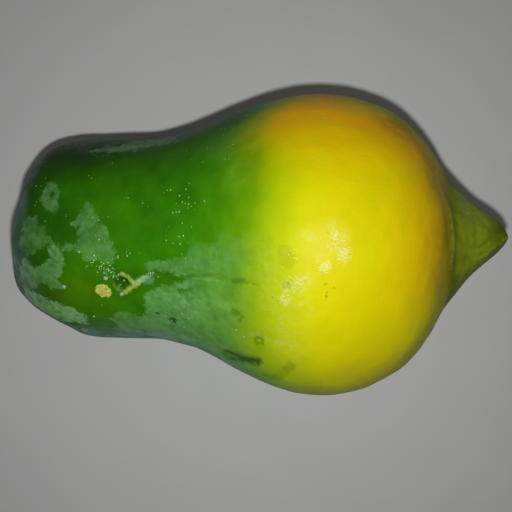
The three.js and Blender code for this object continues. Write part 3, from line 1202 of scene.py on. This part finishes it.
def seat(piece, spot, size, sunk, turn):
    """Scales a ball, turns it to the skin, before its relief, at a pixel and sinks it in."""
    place, normal = skin_point(*spot)
    only(piece)
    piece.scale = size
    piece.rotation_mode = "QUATERNION"
    piece.rotation_quaternion = normal.to_track_quat("Z", "Y") @ Quaternion((0, 0, 1), turn)
    piece.location = place - normal * sunk
    bpy.ops.object.transform_apply(location=True, rotation=True, scale=True)


scab = ball("corky_scab", SCAB_FINENESS)
seat(scab, SCAB, SCAB_SIZE, SCAB_SUNK, SCAB_TURN)
swell(scab, "scab_edge", EDGE_LUMPS, EDGE_LIFT)
swell(scab, "scab_grains", GRAIN, -GRAIN_HEIGHT, kind="VORONOI")
bpy.ops.object.shade_smooth()
print("scab, millimetres:", [round(value / MM, 1) for value in scab.dimensions])

# %% [markdown]
# The crust is straw-coloured and dry. A cell texture of the grains' size darkens the gaps between
# them and roughens them too, so that the crust looks crumbly from close by.

# %% The scab's finish
STRAW = colour(184, 196, 76)
PALE_STRAW = colour(208, 218, 112)
CRUST_GAP = colour(150, 146, 44)

crust = Finish("dry_crust")
crumbs = crust.cells(GRAIN / MM)
straw = crust.mix(crust.noise(1.2, detail=3.0), STRAW, PALE_STRAW)
straw = crust.mix(crust.ease(crumbs, 0.5, 0.95), straw, CRUST_GAP)
crust.feed(crust.shader.inputs["Base Color"], straw)
crust.feed(crust.shader.inputs["Roughness"], crust.ease(crumbs, 0.2, 0.8, start=0.6, end=0.85))
scab.data.materials.append(crust.material)
print("nodes in the crust's finish:", len(crust.tree.nodes))

# %% [markdown]
# ## Drops of latex
# A scratched papaya bleeds a milky juice, which dries in small bluish beads. One bead is modelled as
# a flattened ball, each drop is a copy of it with its own mesh, and all are joined into one piece.
# Each is turned a radian further than the one before, and clouds dent them, so no two are alike.

# %% Drops of latex
DROPS = [  # pixel, half width and half height in millimetres
    ((105.6, 278.4), 0.85, 0.5),
    ((121.8, 294.2), 0.9, 0.5),
    ((64, 287), 0.8, 0.4),
    ((94, 316.5), 0.45, 0.35),
    ((79, 252), 0.45, 0.3),
    ((118.5, 274.5), 0.4, 0.3),
    ((124, 280.5), 0.4, 0.3),
    ((117.7, 279.3), 0.3, 0.25),
    ((116.2, 277), 0.25, 0.2),
    ((120.5, 285), 0.25, 0.2),
    ((153, 273), 0.4, 0.3),
    ((158, 277), 0.3, 0.25),
    ((183, 236), 0.3, 0.2),
    ((180, 244), 0.35, 0.2),
    ((178, 252), 0.25, 0.2),
    ((291, 245), 0.3, 0.2),
    ((292.5, 250), 0.3, 0.2),
    ((293, 256), 0.25, 0.2),
    ((290.5, 261), 0.3, 0.2),
    ((287.8, 252.5), 0.25, 0.2),
    ((286.7, 256), 0.2, 0.2),
    ((295, 253.5), 0.2, 0.2),
    ((295, 257.5), 0.25, 0.2),
    ((265, 310), 0.3, 0.2),
    ((278, 319), 0.3, 0.2),
    ((282, 323), 0.3, 0.2),
    ((285, 329), 0.25, 0.2),
    ((291, 335), 0.3, 0.2),
    ((291, 341), 0.25, 0.2),
    ((236, 330), 0.3, 0.2),
    ((244, 337), 0.3, 0.2),
    ((363, 153), 0.3, 0.2),
    ((325, 118), 0.25, 0.2),
    ((468, 213), 0.25, 0.2),
]
DROP_FINENESS = 3
DROP_BREADTH = 0.85  # of its width
DROP_SUNK = 0.1 * MM
DROP_LUMPS = 0.6 * MM
DROP_LIFT = 0.14 * MM

latex = ball("latex_beads", DROP_FINENESS)
drops = [latex]
while len(drops) < len(DROPS):
    only(latex)
    bpy.ops.object.duplicate()
    drops.append(bpy.context.object)
for turn, (drop, (spot, wide, high)) in enumerate(zip(drops, DROPS)):
    seat(drop, spot, Vector((wide, DROP_BREADTH * wide, high)) * MM, DROP_SUNK, turn)
for drop in drops:
    drop.select_set(True)
bpy.context.view_layer.objects.active = latex
bpy.ops.object.join()
swell(latex, "bead_lumps", DROP_LUMPS, DROP_LIFT)
bpy.ops.object.shade_smooth()
print("drops:", len(DROPS), "faces:", len(latex.data.polygons))

# %% [markdown]
# Dried latex is cloudy, between blue-green and white, and far smoother than the skin round it. So the
# beads get a low roughness, and they catch small, sharp lights.

# %% The drops' finish
BLUISH = colour(112, 160, 128)
MILKY = colour(190, 214, 196)
BEAD_ROUGHNESS = (0.08, 0.2)

milk = Finish("dried_latex")
cloudy = milk.mix(milk.noise(0.5), BLUISH, MILKY)
milk.feed(milk.shader.inputs["Base Color"], cloudy)
milk.feed(milk.shader.inputs["Roughness"], milk.ease(milk.noise(0.8), 0.3, 0.7, *BEAD_ROUGHNESS))
latex.data.materials.append(milk.material)
print("nodes in the latex's finish:", len(milk.tree.nodes))

# %% [markdown]
# ## What the skin stands for
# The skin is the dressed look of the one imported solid, so it replaces it and rides on its body.
# The scab and the drops have no solid of their own. They ride on the same body, so they stay put.

# %% Ride on the frame
for piece in (skin, scab, latex):
    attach(piece, "root")
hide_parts("papaya")
print("pieces on the root body:", skin.name, scab.name, latex.name)

# %% [markdown]
# ## Floor and light
# The fruit lies on a plain floor of pale paper. It is only a stage, so it is no part of the object.
# A single large plane is enough, because its edges then lie far behind the fruit in every view.

# %% Floor
FLOOR_SIDE = 4.0  # metres
PAPER = colour(224, 225, 224)
PALE_PAPER = colour(232, 232, 230)
PAPER_ROUGHNESS = 0.85

bpy.ops.object.select_all(action="DESELECT")
bpy.ops.mesh.primitive_plane_add(size=FLOOR_SIDE, location=(0, 0, 0))
floor = bpy.context.object
floor.name = "studio_floor"
paper = Finish("studio_paper")
paper.feed(paper.shader.inputs["Base Color"], paper.mix(paper.noise(30.0, detail=3.0), PAPER, PALE_PAPER))
paper.feed(paper.shader.inputs["Roughness"], PAPER_ROUGHNESS)
floor.data.materials.append(paper.material)
print("floor, metres:", FLOOR_SIDE)

# %% [markdown]
# A small light close to the lens gives the hard highlight and the narrow shadow of a flash. A large,
# weak light behind the stem end rounds the form. It shines on the fruit only, which leaves the floor
# even, and shows in no reflection. A faint light from all round keeps the shadow from going black.

# %% Lights
KEY_PLACE = Vector((4, -21, 300)) * MM
KEY_SIZE = 8 * MM
KEY_POWER = 0.365  # watts
SIDE_PLACE = Vector((-560, 130, 430)) * MM
SIDE_SIZE = 420 * MM
SIDE_POWER = 0.55  # watts
AIM = Vector((0, 0, 50)) * MM
ROOM_TINT = (1.0, 1.0, 1.0, 1.0)
ROOM_LIGHT = 0.075


def soft_light(name, place, size, power):
    """A round soft light that shines at the fruit's middle."""
    bpy.ops.object.light_add(type="AREA", location=place)
    light = bpy.context.object
    light.name = name
    light.rotation_euler = (place - AIM).to_track_quat("Z", "Y").to_euler()
    light.data.shape = "DISK"
    light.data.size = size
    light.data.energy = power
    return light


soft_light("key_light", KEY_PLACE, KEY_SIZE, KEY_POWER)
side_light = soft_light("side_light", SIDE_PLACE, SIDE_SIZE, SIDE_POWER)
side_light.visible_glossy = False
fruit = bpy.data.collections.new("fruit")
for piece in (skin, scab, latex):
    fruit.objects.link(piece)
side_light.light_linking.receiver_collection = fruit

world = bpy.data.worlds.new("studio")
world.use_nodes = True
room = world.node_tree.nodes["Background"]
room.inputs["Color"].default_value = ROOM_TINT
room.inputs["Strength"].default_value = ROOM_LIGHT
bpy.context.scene.world = world
bpy.context.scene.view_settings.view_transform = "Standard"
print("lights, watts:", KEY_POWER, SIDE_POWER)
